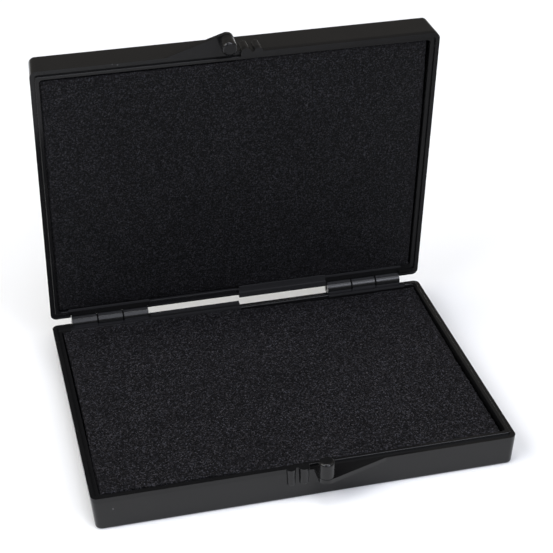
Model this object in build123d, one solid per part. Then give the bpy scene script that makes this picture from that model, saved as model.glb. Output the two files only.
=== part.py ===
from build123d import *
import math
import os

# Small hinged box moulded from conductive black plastic, opened, with a foam
# pad glued into each half.  Millimetres.  +Z up, X to the right, +Y to the
# back (hinge side).  Origin: centre of the base's underside.
# Both halves come from one mould: turning a base half by 180 degrees about the
# front-to-back line at the parting plane gives the lid.

# ---------------------------------------------------------------- driving dimensions
W = 96.5            # width of one half at the parting plane
D = 72.0            # depth of one half at the parting plane, front wall to back wall
H = 7.94            # height of one half, underside to parting plane
DRAFT = 1.3         # degrees, front and back walls lean in towards the closed face
DRAFT_SIDE = 4.7    # degrees, the same for the left and right walls
DRAFT_IN = 1.0      # degrees, all inner faces
R_CORNER = 1.5      # vertical outer corner radius
R_BOTTOM = 0.6      # rounding round the closed face
FLOOR = 1.5         # thickness of the closed face
WALL_SIDE = 2.12    # wall thickness at the parting plane: left and right
WALL_FRONT = 2.08   # front
WALL_BACK = 2.50    # back, on the tongue side
WALL_PLATEAU = 3.15  # back, on the lip side
R_INSIDE = 0.9      # inside corner radius

# shiplap rim: left half (x < 0) carries the raised lip, right half the ledge
# with the tongue behind it; widths at the sides, the front and the back
LIP_T, LIP_T_FRONT, LIP_T_BACK = 0.95, 1.05, 1.50
LEDGE_T, LEDGE_T_FRONT, LEDGE_T_BACK = 1.15, 1.25, 1.90
LIP_UP = 0.52       # lip height above the parting plane
LEDGE_DOWN = 0.60   # ledge depth below the parting plane
STEP_X = -0.15      # where lip ends and ledge begins
R_RIM = 0.16        # edge rounding on lip and tongue

# hinges: two barrels of three knuckles each, centred on +-X
AXIS_Y = D / 2 + 1.17     # hinge axis, behind the back wall, at parting height
R_BARREL = 1.78
K = (23.65, 30.10, 36.60, 43.10)   # knuckle boundaries, distance from the middle
K_GAP = 0.12              # half the gap between neighbouring knuckles
K_ROUND = 0.12            # rounding of the knuckle edges at that gap
R_RELIEF = 1.96           # hollow in the rim where the other half's knuckle turns
RELIEF_END = 0.08         # how far that hollow runs past the barrel's end
R_SPIGOT = 1.50           # collar on the middle knuckle, turning inside its neighbours
R_SPIGOT_RUN = 1.57       # bore that takes the collar
SPIGOT_L = 0.44           # collar length beyond the knuckle's end face
SPIGOT_RUN_L = 0.40       # depth of the bore, from the knuckle boundary
ZONE = (23.1, 43.75)      # stretch of rim behind each hinge
ZONE_WALL = 2.85          # wall thickness there
ZONE_DOWN = 0.06          # the rim is flat there, just under the parting plane
RIM_END = 0.02            # how far the lip is cut away past the barrel's ends;
RIM_FILL = -0.06          # the ledge is filled to just short of them
WEB_DROP = 3.6            # height of the web below the barrel
R_PIN = 0.60              # steel hinge pin
R_PIN_RUN = 0.65          # hole in the knuckle that turns on the pin
PIN_SET = 0.35            # pin ends sit this far inside the barrel

# latch on the front wall: a round post on a shelf, and two ribs that take the
# other half's post
POST_X = 2.97
POST_Y = -38.78
POST_R = 1.82
POST_TOP = 11.33
POST_ROUND = 0.70
SHELF_R = 1.90
SHELF_LEFT_X = 1.10
SHELF_RIGHT_X = 17.3
SHELF_TOP = H - LEDGE_DOWN
SHELF_T = 1.04
RIBS = ((-4.33, -35.90, 1.10), (-1.43, -35.85, 1.25))   # x, y, radius at the rim
RIB_LOW = 4.20            # lowest point of a rib
RIB_TAPER = 0.84          # radius at the foot over radius at the rim
RIB_ROUND = 0.30          # rounding of the blunt foot

# foam pads cut by hand from 6.35 thick sheet, corners front-left,
# front-right, back-right, back-left
PAD_T = 6.35
PAD_R = 0.8
BASE_PAD = ((-45.75, -33.20), (45.10, -33.75), (45.90, 32.20), (-45.65, 32.65))
LID_PAD = ((-45.10, -33.75), (45.90, -33.40), (45.90, 32.40), (-45.55, 32.65))

OPEN = 82.0         # how far the lid stands open, from closed

TAN = math.tan(math.radians(DRAFT))
TAN_SIDE = math.tan(math.radians(DRAFT_SIDE))


# ---------------------------------------------------------------- helpers
def block(x0, x1, y0, y1, z0, z1):
    return Pos((x0 + x1) / 2, (y0 + y1) / 2, (z0 + z1) / 2) * Box(x1 - x0, y1 - y0, z1 - z0)


def slab(x0, x1, y0, y1, r, z0, z1, taper=0.0):
    """Rounded rectangle from z0 to z1."""
    outline = Pos((x0 + x1) / 2, (y0 + y1) / 2) * RectangleRounded(x1 - x0, y1 - y0, r)
    return extrude(Plane.XY.offset(z0) * outline, amount=z1 - z0, taper=taper)


def rod_x(x0, x1, r, y=AXIS_Y, z=H):
    """Cylinder along X between x0 and x1."""
    return Pos((x0 + x1) / 2, y, z) * Rot(0, 90, 0) * Cylinder(r, x1 - x0)


def both(a, b, side):
    """Span a..b on the +X side, or its mirror image on the -X side."""
    return (a, b) if side > 0 else (-b, -a)


# ---------------------------------------------------------------- one half
def outer_form():
    """Outside of one half, standing up to the lip's height."""
    top = H + 2
    a0, a1 = W / 2 - H * TAN_SIDE, W / 2 + (top - H) * TAN_SIDE
    b0, b1 = D / 2 - H * TAN, D / 2 + (top - H) * TAN
    across = make_face(Polyline((-a0, -D, 0), (a0, -D, 0), (a1, -D, top), (-a1, -D, top), close=True))
    along = make_face(Polyline((-W, -b0, 0), (-W, b0, 0), (-W, b1, top), (-W, -b1, top), close=True))
    body = extrude(across, amount=2 * D, dir=(0, 1, 0)) & extrude(along, amount=2 * W, dir=(1, 0, 0))
    corners = [e for e in body.edges() if e.bounding_box().size.Z > 5]
    body = fillet(corners, R_CORNER)
    body = fillet(body.faces().sort_by(Axis.Z)[0].edges(), R_BOTTOM)
    # above the parting plane the lip stands straight
    return body & slab(-W / 2, W / 2, -D / 2, D / 2, R_CORNER + 0.05, -1, H + LIP_UP)


def half_shell():
    body = outer_form()

    # hollow, shrinking towards the floor
    hollow = slab(-W / 2 + WALL_SIDE, W / 2 - WALL_SIDE, -D / 2 + WALL_FRONT, D / 2 - WALL_BACK,
                  R_INSIDE, H, FLOOR, taper=DRAFT_IN)
    body -= hollow
    body -= slab(-W / 2 + LIP_T, W / 2 - LIP_T, -D / 2 + LIP_T_FRONT, D / 2 - LIP_T_BACK,
                 R_CORNER - LIP_T + 0.25, H, H + 3)

    # ledge on the right half: outer part of the wall lowered, tongue left standing
    ledge = block(STEP_X, W, -D, D, H - LEDGE_DOWN, H + 3)
    ledge -= slab(-W / 2 + LEDGE_T, W / 2 - LEDGE_T, -D / 2 + LEDGE_T_FRONT, D / 2 - LEDGE_T_BACK,
                  R_CORNER - LEDGE_T + 0.25, H - LEDGE_DOWN - 1, H)
    body -= ledge

    # rounded rim edges
    body = soften_rim(body)

    # the lip side's back wall is thicker and has a wide flat plateau
    y_plateau, y_zone, y_step = D / 2 - WALL_PLATEAU, D / 2 - ZONE_WALL, D / 2 - LEDGE_T_BACK
    plateau = block(-W / 2 + WALL_SIDE - 0.4, STEP_X, y_plateau, D / 2 - WALL_BACK + 0.5, FLOOR - 0.2, H)
    z0, z1 = both(*ZONE, -1)
    plateau -= block(z0, z1, 0, y_zone, 0, H + 1)
    body += plateau

    # in front of the hinges the rim is one broad flat, with neither lip nor ledge
    for side in (-1, 1):
        x0, x1 = both(*ZONE, side)
        body += block(x0, x1, y_zone, y_step, FLOOR - 0.2, H)
    x0, x1 = both(K[0] - RIM_END, K[3] + RIM_END, -1)
    body -= block(x0, x1, y_step, D, H - ZONE_DOWN, H + 3)
    x0, x1 = both(K[0] - RIM_FILL, K[3] + RIM_FILL, 1)
    body += block(x0, x1, y_step - 0.3, D / 2 - LEDGE_DOWN * TAN, H - LEDGE_DOWN - 0.5, H - ZONE_DOWN)

    # knuckles: outer two on the left hinge, the middle one on the right hinge
    own = ((-1, 0), (-1, 2), (1, 1))
    other = ((-1, 1), (1, 0), (1, 2))
    for side, i in other:
        a = K[i] - (K_GAP if i else RELIEF_END)
        b = K[i + 1] + (K_GAP if i < 2 else RELIEF_END)
        x0, x1 = both(a, b, side)
        body -= rod_x(x0, x1, R_RELIEF)
    for side, i in own:
        a = K[i] + (K_GAP if i else 0)
        b = K[i + 1] - (K_GAP if i < 2 else 0)
        x0, x1 = both(a, b, side)
        knuckle = rod_x(x0, x1, R_BARREL)
        at_gap = [e for e in knuckle.edges() if e.bounding_box().size.X < 1e-6 and
                  min(abs(abs(e.center().X) - K[1]), abs(abs(e.center().X) - K[2])) < K_GAP + 0.01]
        knuckle = fillet(at_gap, K_ROUND)
        knuckle += web(x0, x1)
        if i == 1:
            knuckle += rod_x(x0 - SPIGOT_L, x1 + SPIGOT_L, R_SPIGOT)
        body += knuckle
        body -= rod_x(x0 - 0.5, x1 + 0.5, R_PIN if side < 0 else R_PIN_RUN)
    # the outer knuckles take the middle one's collars
    for c in K[1:3]:
        x0, x1 = both(c - SPIGOT_RUN_L, c + SPIGOT_RUN_L, -1)
        body -= rod_x(x0, x1, R_SPIGOT_RUN)

    # front latch
    shelf = make_face(Polyline(*shelf_outline(), close=True))
    shelf = extrude(Plane.XY.offset(SHELF_TOP - SHELF_T) * shelf, amount=SHELF_T)
    shelf += Pos(POST_X, POST_Y, SHELF_TOP - SHELF_T / 2) * Cylinder(SHELF_R, SHELF_T)
    body += shelf
    post = Pos(POST_X, POST_Y, (SHELF_TOP - SHELF_T + 0.2 + POST_TOP) / 2) * Cylinder(
        POST_R, POST_TOP - SHELF_TOP + SHELF_T - 0.2)
    post = fillet(post.edges().sort_by(Axis.Z)[-1], POST_ROUND)
    body += post
    for x, y, r in RIBS:
        body += rib(x, y, r)
    return body


def soften_rim(body):
    """Round the long rim edges: lip top, both sides, and the tongue's two edges."""
    top = [e for e in body.edges() if abs(e.center().Z - (H + LIP_UP)) < 1e-3
           and e.bounding_box().size.Z < 1e-3 and e.center().X < STEP_X - 0.01]
    tongue = [e for e in body.edges() if abs(e.center().Z - H) < 1e-3
              and e.bounding_box().size.Z < 1e-3 and e.center().X > STEP_X + 0.01]
    for group in (top, tongue):
        print(len(group), "rim edges to round")
        try:
            body = fillet(group, R_RIM)
        except Exception as err:
            print("rim edges left sharp:", err)
    return body


def tangent_point(px, py, cx, cy, r, side):
    """Point where the line from (px, py) touches the circle; side picks which of the two."""
    dx, dy = px - cx, py - cy
    dist = math.hypot(dx, dy)
    base = math.atan2(dy, dx)
    off = side * math.acos(r / dist)
    return cx + r * math.cos(base + off), cy + r * math.sin(base + off)


def web(x0, x1):
    """Web from the barrel down to the back wall's outer face."""
    foot = (D / 2 - WEB_DROP * TAN - 0.02, H - WEB_DROP)
    touch = tangent_point(*foot, AXIS_Y, H, R_BARREL - 0.01, 1)
    top = H - LEDGE_DOWN
    pts = [(D / 2 - 0.9, foot[1] - 0.3), (D / 2 - 0.9, top), (AXIS_Y, top), touch, foot]
    face = make_face(Polyline(*[(0, y, z) for y, z in pts], close=True))
    solid = extrude(face, amount=x1 - x0, dir=(1, 0, 0))
    return Pos(x0, 0, 0) * solid


def shelf_outline():
    """Plan of the shelf that carries the post, wall side inside the wall."""
    wall = -D / 2 + (SHELF_T + LEDGE_DOWN) * TAN + 0.35
    rx, ry = tangent_point(SHELF_RIGHT_X, -D / 2, POST_X, POST_Y, SHELF_R, -1)
    lx, ly = tangent_point(SHELF_LEFT_X, -D / 2, POST_X, POST_Y, SHELF_R, 1)
    return [(SHELF_LEFT_X, wall, 0), (SHELF_LEFT_X, -D / 2, 0), (lx, ly, 0), (POST_X, POST_Y, 0),
            (rx, ry, 0), (SHELF_RIGHT_X, -D / 2, 0), (SHELF_RIGHT_X, wall, 0)]


def rib(x, y, r):
    """Half-round rib on the front wall, a little narrower towards its blunt foot."""
    top = H + LIP_UP
    solid = Pos(x, y, (RIB_LOW + top) / 2) * Cone(r * RIB_TAPER, r, top - RIB_LOW)
    solid = fillet(solid.edges().sort_by(Axis.Z)[0], RIB_ROUND)
    return solid & block(x - 3, x + 3, -D, -D / 2 + 0.6, 0, top)


# ---------------------------------------------------------------- pieces of one half
def half_pad(corners):
    outline = make_face(Polyline(*[(x, y, 0) for x, y in corners], close=True))
    pad = extrude(Plane.XY.offset(FLOOR) * outline, amount=PAD_T)
    return fillet(pad.edges().filter_by(Axis.Z), PAD_R)


def half_pin():
    """Pin of the hinge whose two outer knuckles belong to this half."""
    return rod_x(-K[3] + PIN_SET, -K[0] - PIN_SET, R_PIN)


def as_lid(shape):
    """Turn a base-half piece over onto the closed box, then open it about the hinge axis."""
    shape = shape.rotate(Axis((0, 0, H), (0, 1, 0)), 180)
    return shape.rotate(Axis((0, AXIS_Y, H), (1, 0, 0)), -OPEN)


shell = half_shell()
pin = half_pin()

parts = {
    "base_shell": shell,
    "lid_shell": as_lid(shell),
    "base_foam_pad": half_pad(BASE_PAD),
    "lid_foam_pad": as_lid(half_pad(LID_PAD)),
    "left_hinge_pin": pin,
    "right_hinge_pin": as_lid(pin),
}

os.makedirs("parts", exist_ok=True)
for name, shape in parts.items():
    export_step(shape, "parts/" + name + ".step")
    box = shape.bounding_box()
    print(name, "solids", len(shape.solids()), "volume", round(shape.volume, 2),
          "size", [round(v, 3) for v in (box.size.X, box.size.Y, box.size.Z)])
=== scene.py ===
import math
import bpy
import numpy as np
from mathutils import Matrix, Vector


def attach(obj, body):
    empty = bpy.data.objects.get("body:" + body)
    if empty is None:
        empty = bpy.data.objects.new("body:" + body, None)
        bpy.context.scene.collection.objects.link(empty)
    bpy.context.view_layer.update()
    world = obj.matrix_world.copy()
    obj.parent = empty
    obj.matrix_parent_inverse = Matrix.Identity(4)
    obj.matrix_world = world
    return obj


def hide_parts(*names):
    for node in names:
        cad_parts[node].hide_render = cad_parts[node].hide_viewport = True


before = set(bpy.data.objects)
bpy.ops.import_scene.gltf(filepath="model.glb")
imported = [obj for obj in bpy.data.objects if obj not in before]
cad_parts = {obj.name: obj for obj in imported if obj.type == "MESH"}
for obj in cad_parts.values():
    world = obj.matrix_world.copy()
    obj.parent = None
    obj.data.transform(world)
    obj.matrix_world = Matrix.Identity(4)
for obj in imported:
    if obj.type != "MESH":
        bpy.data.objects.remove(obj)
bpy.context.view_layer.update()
MM = 0.001
OPEN = math.radians(82.0)
AXIS_Y, H = 37.17, 7.94          # hinge line and parting height, millimetres
FLOOR_Z, PAD_TOP = 1.5, 7.85     # foam pad: underside and cut face
scene = bpy.context.scene


# ------------------------------------------------------------------ node helpers
def material(name):
    m = bpy.data.materials.new(name)
    m.use_nodes = True
    nt = m.node_tree
    nt.nodes.clear()
    out = nt.nodes.new("ShaderNodeOutputMaterial")
    bsdf = nt.nodes.new("ShaderNodeBsdfPrincipled")
    nt.links.new(bsdf.outputs["BSDF"], out.inputs["Surface"])
    return m, nt, bsdf


def node(nt, kind, **values):
    n = nt.nodes.new(kind)
    for key, v in values.items():
        if key in n.inputs:
            n.inputs[key].default_value = v
        else:
            setattr(n, key, v)
    return n


def link(nt, a, b):
    nt.links.new(a, b)


def ramp(nt, fac, stops, interpolation="LINEAR"):
    r = nt.nodes.new("ShaderNodeValToRGB")
    r.color_ramp.interpolation = interpolation
    els = r.color_ramp.elements
    while len(els) < len(stops):
        els.new(0.5)
    for e, (p, c) in zip(els, stops):
        e.position = p
        e.color = (c, c, c, 1) if isinstance(c, (int, float)) else (*c, 1)
    nt.links.new(fac, r.inputs["Fac"])
    return r.outputs["Color"]


def math_node(nt, op, a, b=None, c=None, clamp=False):
    n = nt.nodes.new("ShaderNodeMath")
    n.operation = op
    n.use_clamp = clamp
    for i, v in enumerate((a, b, c)):
        if v is None:
            continue
        if isinstance(v, (int, float)):
            n.inputs[i].default_value = v
        else:
            nt.links.new(v, n.inputs[i])
    return n.outputs[0]


def mix_colour(nt, kind, fac, a, b):
    n = nt.nodes.new("ShaderNodeMix")
    n.data_type = "RGBA"
    n.blend_type = kind
    if isinstance(fac, (int, float)):
        n.inputs["Factor"].default_value = fac
    else:
        nt.links.new(fac, n.inputs["Factor"])
    for key, v in ((6, a), (7, b)):
        if isinstance(v, tuple):
            n.inputs[key].default_value = (*v, 1)
        else:
            nt.links.new(v, n.inputs[key])
    return n.outputs[2]


# ------------------------------------------------------------------ camera
cam_data = bpy.data.cameras.new("camera")
cam = bpy.data.objects.new("camera", cam_data)
scene.collection.objects.link(cam)
right = Vector((0.971559, -0.236455, -0.012767))
down = Vector((-0.130081, -0.487878, -0.863165))
fwd = Vector((0.197871, 0.840276, -0.504760))
rot = Matrix((right, -down, -fwd)).transposed()
cam.matrix_world = Matrix.Translation(Vector((-68.687, -298.079, 214.839)) * MM) @ rot.to_4x4()
cam_data.sensor_fit = "HORIZONTAL"
cam_data.sensor_width = 36.0
cam_data.lens = 100.637
cam_data.clip_start = 0.01
cam_data.clip_end = 30
cam_data.dof.use_dof = False
scene.camera = cam

scene.view_settings.view_transform = "Standard"
scene.view_settings.look = "None"
scene.view_settings.exposure = 0.0
scene.view_settings.gamma = 1.0

# ------------------------------------------------------------------ stage
mesh = bpy.data.meshes.new("floor")
s = 6.0
mesh.from_pydata([(-s, -s, 0), (s, -s, 0), (s, s, 0), (-s, s, 0)], [], [(0, 1, 2, 3)])
floor = bpy.data.objects.new("floor", mesh)
scene.collection.objects.link(floor)
floor.location.z = -0.00002
fm, nt, b = material("floor_white")
b.inputs["Base Color"].default_value = (0.92, 0.92, 0.92, 1)
b.inputs["Roughness"].default_value = 0.8
b.inputs["Specular IOR Level"].default_value = 0.1
mesh.materials.append(fm)

# a dim room: bright only at the horizon, warm and lighter behind the object, darker towards the camera
world = bpy.data.worlds.new("studio")
scene.world = world
world.use_nodes = True
wt = world.node_tree
bg = wt.nodes["Background"]
tc = wt.nodes.new("ShaderNodeTexCoord")
sep = wt.nodes.new("ShaderNodeSeparateXYZ")
wt.links.new(tc.outputs["Generated"], sep.inputs[0])
side = math_node(wt, "MULTIPLY_ADD", sep.outputs["Y"], 0.5, 0.5)
room = ramp(wt, side, [(0.30, (0.07, 0.07, 0.07)), (0.60, (0.135, 0.127, 0.112)), (0.72, (0.205, 0.193, 0.172)), (1.0, (0.185, 0.173, 0.155))])
low = ramp(wt, sep.outputs["Z"], [(0.02, 1.0), (0.11, 0.0)])
sky = mix_colour(wt, "MIX", low, room, (0.85, 0.85, 0.85))
wt.links.new(sky, bg.inputs["Color"])
bg.inputs["Strength"].default_value = 1.0


def area(name, loc, target, size, power, size_y=None, color=(1, 1, 1)):
    d = bpy.data.lights.new(name, "AREA")
    d.shape = "RECTANGLE"
    d.size = size
    d.size_y = size_y or size
    d.energy = power
    d.color = color
    o = bpy.data.objects.new(name, d)
    scene.collection.objects.link(o)
    o.location = loc
    o.rotation_euler = (Vector(target) - Vector(loc)).to_track_quat("-Z", "Y").to_euler()
    return o


def panel(name, azimuth, elevation, distance, half_w, half_h, radiance, color=(1, 1, 1)):
    """Softbox seen from the object at azimuth (0 is the front, + to the right) and elevation, in degrees;
    half_w and half_h are its half-angles."""
    az, el = math.radians(azimuth), math.radians(elevation)
    loc = Vector((math.sin(az) * math.cos(el), -math.cos(az) * math.cos(el), math.sin(el))) * distance
    w = 2 * distance * math.tan(math.radians(half_w))
    h = 2 * distance * math.tan(math.radians(half_h))
    return area(name, loc, (0, 0, 0.01), w, radiance * math.pi * w * h, h, color)


# a strip softbox overhead, a large softbox to the right of the camera and one high above it, a small one to
# its left, one at each side, and the brighter middles of the two front boxes, which draw the small highlights
COOL = (0.87, 0.90, 1.0)
area("softbox_top", (-0.084, 0.042, 2.4), (0, 0, 0.01), 0.504, 7.4 * math.pi * 0.504 * 1.108, 1.108)
panel("softbox_high", 36, 71, 2.6, 12, 12, 2.6, COOL)
panel("softbox_right", 15, 41, 2.6, 20, 22, 2.65, COOL)
panel("softbox_left", -52, 42, 2.6, 14, 16, 0.9, COOL)
panel("softbox_right_middle", 27, 40, 2.6, 6, 9, 6.0, COOL)
panel("softbox_left_middle", -54, 40, 2.6, 8, 10, 6.0, COOL)
panel("softbox_side_left", -88, 42, 2.6, 18, 20, 3.7, (1.0, 0.99, 0.955))
panel("softbox_side_right", 78, 42, 2.6, 18, 20, 0.6, (1.0, 0.99, 0.955))


# ------------------------------------------------------------------ plastic
KNUCKLES = (30.10, 36.60)        # where neighbouring knuckles meet, distance from the middle, millimetres


def span(nt, value, low, high, soft):
    """1 where value lies between low and high, fading to 0 over soft at both ends; metres."""
    a = math_node(nt, "MULTIPLY_ADD", value, 1 / soft, -low / soft, clamp=True)
    b_ = math_node(nt, "MULTIPLY_ADD", value, -1 / soft, high / soft, clamp=True)
    return math_node(nt, "MULTIPLY", a, b_)


def shell_material(name, is_lid):
    """Carbon-filled moulded plastic: near black, semi-gloss, faintly grained, with a little dust.
    The rim's faces are finer in texture and duller, and so are the slots between the knuckles, which are also painted
    dark as shade; the hinge flats, the back rim and the knuckle tops are painted lighter as reflection and sheen."""
    m, nt, b = material(name)
    tc = node(nt, "ShaderNodeTexCoord")
    at = tc.outputs["Object"]
    grain = node(nt, "ShaderNodeTexNoise", Scale=2200.0, Detail=3.0, Roughness=0.6)
    link(nt, at, grain.inputs["Vector"])
    swirl = node(nt, "ShaderNodeTexNoise", Scale=70.0, Detail=5.0, Roughness=0.6, Distortion=0.8)
    link(nt, at, swirl.inputs["Vector"])
    dust = node(nt, "ShaderNodeTexVoronoi", Scale=420.0, Randomness=1.0)
    link(nt, at, dust.inputs["Vector"])
    pick = node(nt, "ShaderNodeTexNoise", Scale=260.0, Detail=1.0)
    link(nt, at, pick.inputs["Vector"])
    speck = math_node(nt, "MULTIPLY", ramp(nt, dust.outputs["Distance"], [(0.05, 1.0), (0.11, 0.0)]),
                      ramp(nt, pick.outputs["Fac"], [(0.60, 0.0), (0.66, 1.0)]))
    xyz = node(nt, "ShaderNodeSeparateXYZ")
    link(nt, at, xyz.inputs[0])
    x, y, z = xyz.outputs
    dy = math_node(nt, "SUBTRACT", y, AXIS_Y * MM)
    dz = math_node(nt, "SUBTRACT", z, H * MM)
    # how far in front of the hinge line, and how far above the parting plane, in the half's own directions
    if is_lid:
        c_, s_ = math.cos(OPEN), math.sin(OPEN)
        ahead = math_node(nt, "MULTIPLY_ADD", dz, s_, math_node(nt, "MULTIPLY", dy, -c_))
        above = math_node(nt, "MULTIPLY_ADD", dz, -c_, math_node(nt, "MULTIPLY", dy, -s_))
        rim = math_node(nt, "MULTIPLY", span(nt, above, -0.00075, 0.00065, 0.00006), span(nt, ahead, 0.0019, 0.0785, 0.0002))
        cap = math_node(nt, "MULTIPLY", span(nt, above, 0.00328, 0.00365, 0.00006), span(nt, ahead, 0.0735, 0.0785, 0.0002))
        rim = math_node(nt, "MAXIMUM", rim, cap)
    else:
        ahead = math_node(nt, "MULTIPLY", dy, -1.0)
        above = dz
        rim = math_node(nt, "MULTIPLY", span(nt, above, -0.00075, 0.00065, 0.00006), span(nt, ahead, 0.0041, 0.0733, 0.0002))
    radius = math_node(nt, "SQRT", math_node(nt, "MULTIPLY_ADD", dy, dy, math_node(nt, "MULTIPLY", dz, dz)))
    out_x = math_node(nt, "ABSOLUTE", x)
    near = math_node(nt, "MINIMUM", math_node(nt, "ABSOLUTE", math_node(nt, "SUBTRACT", out_x, KNUCKLES[0] * MM)),
                     math_node(nt, "ABSOLUTE", math_node(nt, "SUBTRACT", out_x, KNUCKLES[1] * MM)))
    # painted shade: this mask marks the slots between the knuckles, which are painted darker below and made duller
    slot_shade_mask = math_node(nt, "MULTIPLY", math_node(nt, "MULTIPLY_ADD", near, -1 / 0.00005, 0.00021 / 0.00005, clamp=True),
                     math_node(nt, "LESS_THAN", radius, 0.0019))
    base = ramp(nt, swirl.outputs["Fac"], [(0.3, (0.0056, 0.0056, 0.0059)), (0.7, (0.0074, 0.0073, 0.0074))])
    base = mix_colour(nt, "MIX", speck, base, (0.06, 0.06, 0.06))
    # painted reflection: the flat in front of each hinge is painted lighter as the knuckles' highlights mirrored in it,
    # with a painted highlight along its inner edge
    hinge_flat_reflection = math_node(nt, "MULTIPLY", span(nt, out_x, 0.0231, 0.04375, 0.00015), span(nt, above, -0.0004, 0.0002, 0.00005))
    if not is_lid:
        base = mix_colour(nt, "MIX", math_node(nt, "MULTIPLY", hinge_flat_reflection, span(nt, ahead, 0.0010, 0.0041, 0.0001)), base, (0.0105, 0.0105, 0.0120))
    # painted highlight along the inner edge of the flat
    base = mix_colour(nt, "MIX", math_node(nt, "MULTIPLY", hinge_flat_reflection, span(nt, ahead, 0.0035, 0.0042, 0.0001)), base, (0.022, 0.022, 0.0235))
    # painted reflection: the back rim between the hinges is painted lighter, standing in for the light it reflects from
    # beside the slit under the lid
    def paint_rim_light(base, x0, x1, a0, a1, z0, z1, colour):
        where = math_node(nt, "MULTIPLY", span(nt, x, x0, x1, 0.00010), span(nt, ahead, a0, a1, 0.00010))
        where = math_node(nt, "MULTIPLY", where, span(nt, above, z0, z1, 0.00005))
        return mix_colour(nt, "MIX", where, base, colour)

    if is_lid:
        base = paint_rim_light(base, 0.0000, 0.0232, 0.0008, 0.0045, -0.0005, 0.00065, (0.0235, 0.0235, 0.0250))
        base = paint_rim_light(base, -0.0232, 0.0000, 0.0008, 0.0045, -0.0008, 0.00065, (0.0115, 0.0115, 0.0125))
    else:
        base = paint_rim_light(base, -0.0232, 0.0000, 0.0008, 0.0027, 0.0003, 0.00065, (0.0190, 0.0190, 0.0205))
        base = paint_rim_light(base, -0.0232, 0.0000, 0.0027, 0.0045, -0.0003, 0.00030, (0.0145, 0.0145, 0.0158))
    # painted sheen: the knuckles are painted lighter along the top, for the light they reflect there
    knuckle_top_sheen = math_node(nt, "MULTIPLY", span(nt, dz, 0.00150, 0.00200, 0.00012), math_node(nt, "LESS_THAN", radius, 0.00185))
    base = mix_colour(nt, "MIX", knuckle_top_sheen, base, (0.021, 0.021, 0.0225))
    # painted shade: the slots between the knuckles are painted darker
    base = mix_colour(nt, "MIX", slot_shade_mask, base, (0.0035, 0.0035, 0.0037))
    link(nt, base, b.inputs["Base Color"])
    rough = ramp(nt, swirl.outputs["Fac"], [(0.3, 0.14), (0.7, 0.20)])
    rough = math_node(nt, "MAXIMUM", rough, math_node(nt, "MULTIPLY", slot_shade_mask, 0.6))
    link(nt, rough, b.inputs["Roughness"])
    if is_lid:
        dull = math_node(nt, "MULTIPLY_ADD", x, -2.0, 0.245)
    else:
        dull = math_node(nt, "MULTIPLY_ADD", x, -0.6, 0.41)
    level = math_node(nt, "MULTIPLY_ADD", rim, math_node(nt, "SUBTRACT", dull, 0.5), 0.5)
    level = math_node(nt, "MULTIPLY", level, math_node(nt, "MULTIPLY_ADD", slot_shade_mask, -0.93, 1.0))
    link(nt, level, b.inputs["Specular IOR Level"])
    bump = node(nt, "ShaderNodeBump", Strength=0.22, Distance=0.00003)
    link(nt, grain.outputs["Fac"], bump.inputs["Height"])
    link(nt, bump.outputs["Normal"], b.inputs["Normal"])
    b.inputs["IOR"].default_value = 1.385
    return m


for n, material_name in (("base_shell", "conductive_plastic"), ("lid_shell", "conductive_plastic_lid")):
    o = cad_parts[n]
    shell = shell_material(material_name, n == "lid_shell")
    for sl in o.material_slots:
        sl.link = "OBJECT"
        sl.material = shell

steel, nt, b = material("pin_steel")
b.inputs["Metallic"].default_value = 1.0
tc = node(nt, "ShaderNodeTexCoord")
br = node(nt, "ShaderNodeTexNoise", Scale=900.0, Detail=2.0)
link(nt, tc.outputs["Object"], br.inputs["Vector"])
link(nt, ramp(nt, br.outputs["Fac"], [(0.3, 0.45), (0.7, 0.6)]), b.inputs["Base Color"])
link(nt, ramp(nt, br.outputs["Fac"], [(0.3, 0.25), (0.7, 0.4)]), b.inputs["Roughness"])
for n in ("left_hinge_pin", "right_hinge_pin"):
    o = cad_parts[n]
    for sl in o.material_slots:
        sl.link = "OBJECT"
        sl.material = steel


# ------------------------------------------------------------------ foam pads
def worley(x, y, cell, seed):
    """Distance to the nearest point of a jittered grid, in units of the cell."""
    rng = np.random.default_rng(seed)
    n = 512
    jx, jy = rng.random((n, n)), rng.random((n, n))
    gx, gy = x / cell, y / cell
    ix, iy = np.floor(gx).astype(int), np.floor(gy).astype(int)
    best = np.full(x.shape, 9.0)
    for dx in (-1, 0, 1):
        for dy in (-1, 0, 1):
            cx, cy = ix + dx, iy + dy
            px = cx + jx[cx % n, cy % n]
            py = cy + jy[cx % n, cy % n]
            best = np.minimum(best, np.hypot(gx - px, gy - py))
    return best


def smooth_noise(n, step, seed):
    """One-dimensional soft noise of n samples, roughly -1..1, with features of step samples."""
    rng = np.random.default_rng(seed)
    knots = rng.uniform(-1, 1, int(n / step) + 4)
    t = np.linspace(0, len(knots) - 2.001, n)
    i = t.astype(int)
    f = t - i
    f = f * f * (3 - 2 * f)
    return knots[i] * (1 - f) + knots[i + 1] * f


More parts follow.
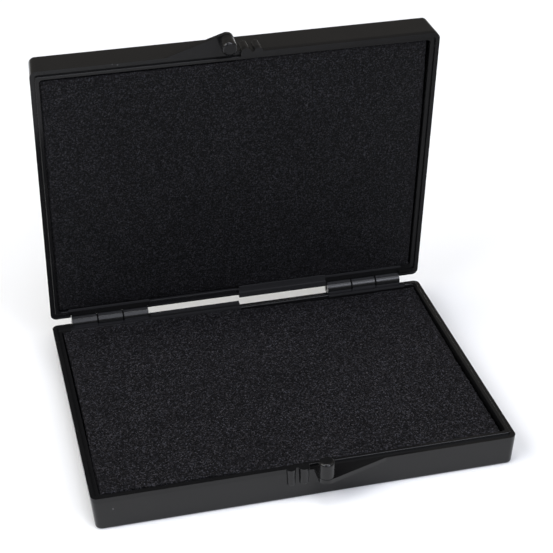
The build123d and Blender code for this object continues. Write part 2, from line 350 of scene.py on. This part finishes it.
def foam_mesh(name, left, right_, front, back, ragged, seed, to_world, swell, swell_side):
    """Foam slab: irregular hand-cut outline, porous cut face, rough sides.
    left/right_ are (y, x) tables, front/back are (x, y) tables, all in the half's own millimetres;
    swell is how far the back edge has swollen up (or been pressed down), on the side given as -1 or 1."""
    rng = np.random.default_rng(seed)
    NU, NV = 300, 222
    u, v = np.linspace(0, 1, NU), np.linspace(0, 1, NV)
    ys = -33.6 + v * 66.2
    xs = -45.6 + u * 91.3
    xl = np.interp(ys, *np.array(left).T) + 0.05 * smooth_noise(NV, 3, seed + 1) + rng.normal(0, 0.025, NV)
    xr = np.interp(ys, *np.array(right_).T) + 0.05 * smooth_noise(NV, 3, seed + 2) + rng.normal(0, 0.025, NV)
    amp = np.interp(xs, *np.array(ragged).T)
    yf = np.interp(xs, *np.array(front).T) + amp * (0.6 * np.abs(smooth_noise(NU, 2.5, seed + 3)) + 0.6 * np.clip(rng.normal(0, 1, NU), 0, 2))
    yb = np.interp(xs, *np.array(back).T) - 0.06 * np.abs(smooth_noise(NU, 3, seed + 4)) - rng.random(NU) * 0.05
    U, V = np.meshgrid(u, v)
    X = xl[:, None] * (1 - U) + xr[:, None] * U
    Y = yf[None, :] * (1 - V) + yb[None, :] * V
    # the cut face: open pores, a slow waviness, softened and torn at the rim
    pore = worley(X, Y, 0.62, seed + 5)
    fine = rng.normal(0, 1, X.shape)
    Z = PAD_TOP - 0.03 - 0.12 * np.clip(1 - pore / 0.55, 0, 1) - 0.04 * np.abs(fine)
    edge = np.minimum(np.minimum(np.arange(NU)[None, :], NU - 1 - np.arange(NU)[None, :]),
                      np.minimum(np.arange(NV)[:, None], NV - 1 - np.arange(NV)[:, None]))
    torn = rng.random(X.shape)
    back_rows = (np.arange(NV) > NV - 4)[:, None]
    tear = np.where(back_rows, 0.25, 1.0)
    Z = Z + swell * np.interp(Y, (29.5, 33.0), (0.0, 1.0)) ** 2 * np.interp(swell_side * X, (1.0, 2.5), (0.0, 1.0))
    Z = Z - tear * (np.where(edge == 0, 0.20 + 0.26 * torn, 0) + np.where(edge == 1, 0.05 + 0.12 * torn, 0) + np.where(edge == 2, 0.05 * torn, 0))
    inner = (edge > 0)
    X = X + inner * rng.normal(0, 0.035, X.shape)
    Y = Y + inner * rng.normal(0, 0.035, X.shape)
    verts = [np.stack([X, Y, Z], -1).reshape(-1, 3)]
    idx = np.arange(NU * NV).reshape(NV, NU)
    faces = np.stack([idx[:-1, :-1], idx[:-1, 1:], idx[1:, 1:], idx[1:, :-1]], -1).reshape(-1, 4).tolist()
    # sides, in rings down to the underside
    ring = np.concatenate([idx[0, :], idx[1:, -1], idx[-1, -2::-1], idx[-2:0:-1, 0]])
    top = verts[0][ring]
    cx, cy = 0.1, -0.4
    normal = np.zeros((len(ring), 2))
    a, b_ = NU, NU + NV - 1
    c = b_ + NU - 1
    normal[:a] = (0, -1)
    normal[a:b_] = (1, 0)
    normal[b_:c] = (0, 1)
    normal[c:] = (-1, 0)
    # the sides start from their own copy of the outline, so that the cut edge stays crisp
    count = NU * NV + len(ring)
    verts.append(top.copy())
    prev = np.arange(NU * NV, count)
    layers = 9
    for k in range(1, layers + 1):
        t = k / layers
        p = top.copy()
        p[:, 2] = top[:, 2] * (1 - t) + FLOOR_Z * t
        wob = (0.10 * worley(np.arange(len(ring)) * 0.31, p[:, 2], 0.8, seed + 20) - 0.05) if k < layers else 0
        p[:, :2] -= normal * (0.05 + np.reshape(wob + np.zeros(len(ring)), (-1, 1)) + 0.04 * rng.random((len(ring), 1)))
        if k < layers:
            p[:, 2] += rng.normal(0, 0.05, len(ring))
        verts.append(p)
        cur = np.arange(count, count + len(ring))
        count += len(ring)
        nxt = np.roll(cur, -1)
        pn = np.roll(prev, -1)
        faces += np.stack([prev, cur, nxt, pn], -1).tolist()
        prev = cur
    faces.append(prev[::-1].tolist())
    pts = to_world(np.concatenate(verts)) * MM
    me = bpy.data.meshes.new(name)
    me.from_pydata(pts.tolist(), [], faces)
    me.update()
    for p in me.polygons:
        p.use_smooth = True
    me.polygons[-1].use_smooth = False
    ob = bpy.data.objects.new(name, me)
    scene.collection.objects.link(ob)
    return ob


def stay(p):
    return p


def as_lid(p):
    """Turn a half's own coordinates over onto the closed box, then open about the hinge line."""
    q = np.stack([-p[:, 0], p[:, 1] - AXIS_Y, H - p[:, 2]], 1)
    c_, s_ = math.cos(-OPEN), math.sin(-OPEN)
    return np.stack([q[:, 0], q[:, 1] * c_ - q[:, 2] * s_ + AXIS_Y, q[:, 1] * s_ + q[:, 2] * c_ + H], 1)


base_foam = foam_mesh(
    "base_foam",
    left=[(-34, -45.95), (-20, -45.95), (-12, -45.85), (-4, -45.7), (12, -45.7), (26, -45.75), (33, -45.85)],
    right_=[(-34, 45.15), (-4, 45.15), (0, 45.25), (8, 45.4), (16, 45.5), (23, 45.65), (28, 45.85), (33, 45.9)],
    front=[(-46, -33.1), (-15.5, -33.1), (-14.5, -33.8), (-3.5, -33.8), (-2.5, -33.35), (14, -33.35), (17, -33.6), (21, -33.82), (46, -33.82)],
    back=[(-46, 32.8), (-44, 32.85), (-43, 33.12), (-24, 33.12), (-23, 32.8), (0, 32.8), (1, 32.7), (5, 32.6), (13, 32.55), (16, 32.3), (22, 32.1), (30, 31.95), (36, 32.1), (46, 32.3)],
    ragged=[(-46, 0.22), (-16, 0.22), (-14, 0.06), (-4, 0.06), (-2, 0.14), (18, 0.14), (21, 0.03), (46, 0.03)],
    seed=11, to_world=stay, swell=0.42, swell_side=-1)
lid_foam = foam_mesh(
    "lid_foam",
    left=[(-34, -45.3), (-31, -45.3), (-24, -45.5), (-12, -45.7), (33, -45.75)],
    right_=[(-34, 46.06), (33, 46.06)],
    front=[(-46, -33.8), (-1, -33.8), (1, -33.4), (46, -33.45)],
    back=[(-46, 33.08), (-23.3, 33.08), (-23, 32.82), (-1, 32.84), (1, 33.2), (22.8, 33.2), (23.2, 33.08), (46, 33.08)],
    ragged=[(-46, 0.05), (0, 0.06), (46, 0.08)],
    seed=47, to_world=as_lid, swell=-0.30, swell_side=1)


def foam_material(name, tint, cell_tones_glints, plane):
    """Open-cell conductive foam: charcoal, full of pores, its tone varying at random from cell to cell, with painted
    glints where the odd cell wall would catch the light and painted shade in the pits, and painted lighter on its torn
    sides, partly for the cut's paler look and partly standing in for light in the gap beside it; plane is the cut face,
    a normal and a distance in metres."""
    m, nt, b = material(name)
    tc = node(nt, "ShaderNodeTexCoord")
    at = tc.outputs["Object"]
    cells = node(nt, "ShaderNodeTexVoronoi", Scale=4500.0, Randomness=1.0)
    link(nt, at, cells.inputs["Vector"])
    part = node(nt, "ShaderNodeSeparateColor")
    link(nt, cells.outputs["Color"], part.inputs[0])
    clump = node(nt, "ShaderNodeTexNoise", Scale=2600.0, Detail=1.0, Roughness=0.5)
    link(nt, at, clump.inputs["Vector"])
    broad = node(nt, "ShaderNodeTexNoise", Scale=55.0, Detail=3.0, Roughness=0.5)
    link(nt, at, broad.inputs["Vector"])
    # painted light: a random tone per cell, the brightest cells standing for glints off cell walls and the darkest for
    # shade in the pores
    cell_tone_glint_shade = ramp(nt, part.outputs["Red"], cell_tones_glints)
    height = node(nt, "ShaderNodeVectorMath", operation="DOT_PRODUCT")
    link(nt, at, height.inputs[0])
    height.inputs[1].default_value = plane[0]
    depth = math_node(nt, "SUBTRACT", plane[1], height.outputs["Value"])
    # painted light: up to three times lighter below the cut face, partly the torn side's paler look, partly standing in
    # for light reaching the gap beside the foam
    side = ramp(nt, math_node(nt, "MULTIPLY_ADD", depth, 1000.0, -0.4, clamp=True), [(0.0, 1.0), (1.0, 3.0)])
    # painted shade: clumps of pores darkened, others lightened
    pit_shade = ramp(nt, clump.outputs["Fac"], [(0.30, 0.65), (0.50, 1.0), (0.70, 1.4)])
    wide = ramp(nt, broad.outputs["Fac"], [(0.3, 0.92), (0.7, 1.10)])
    col = mix_colour(nt, "MULTIPLY", 1.0, cell_tone_glint_shade, pit_shade)
    col = mix_colour(nt, "MULTIPLY", 1.0, col, wide)
    hue = ramp(nt, part.outputs["Green"], [(0.0, (1.06, 1.0, 0.94)), (1.0, (0.94, 1.0, 1.10))])
    col = mix_colour(nt, "MULTIPLY", 1.0, col, hue)
    col = mix_colour(nt, "MULTIPLY", 1.0, col, side)
    col = mix_colour(nt, "MULTIPLY", 1.0, col, tint)
    link(nt, col, b.inputs["Base Color"])
    link(nt, ramp(nt, part.outputs["Blue"], [(0.0, 0.85), (0.7, 0.75), (1.0, 0.40)]), b.inputs["Roughness"])
    bump = node(nt, "ShaderNodeBump", Strength=0.5, Distance=0.00012)
    link(nt, cells.outputs["Distance"], bump.inputs["Height"])
    link(nt, bump.outputs["Normal"], b.inputs["Normal"])
    b.inputs["Specular IOR Level"].default_value = 0.08
    return m


base_plane = ((0, 0, 1), PAD_TOP * MM)
lid_normal = Vector((0, -math.sin(OPEN), -math.cos(OPEN)))
lid_plane = (lid_normal, (lid_normal.dot(Vector((0, AXIS_Y, H))) - H + PAD_TOP) * MM)
base_material = foam_material("conductive_foam", (0.0101, 0.0098, 0.0110),
                              [(0.0, 0.20), (0.45, 0.42), (0.78, 1.2), (1.0, 4.3)], base_plane)
lid_material = foam_material("conductive_foam_lid", (0.0093, 0.0091, 0.0100),
                             [(0.0, 0.34), (0.45, 0.58), (0.78, 1.2), (1.0, 3.2)], lid_plane)
for ob, cad, body, foam in ((base_foam, "base_foam_pad", "base", base_material),
                            (lid_foam, "lid_foam_pad", "lid", lid_material)):
    ob.data.materials.append(foam)
    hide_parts(cad)
    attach(ob, body)
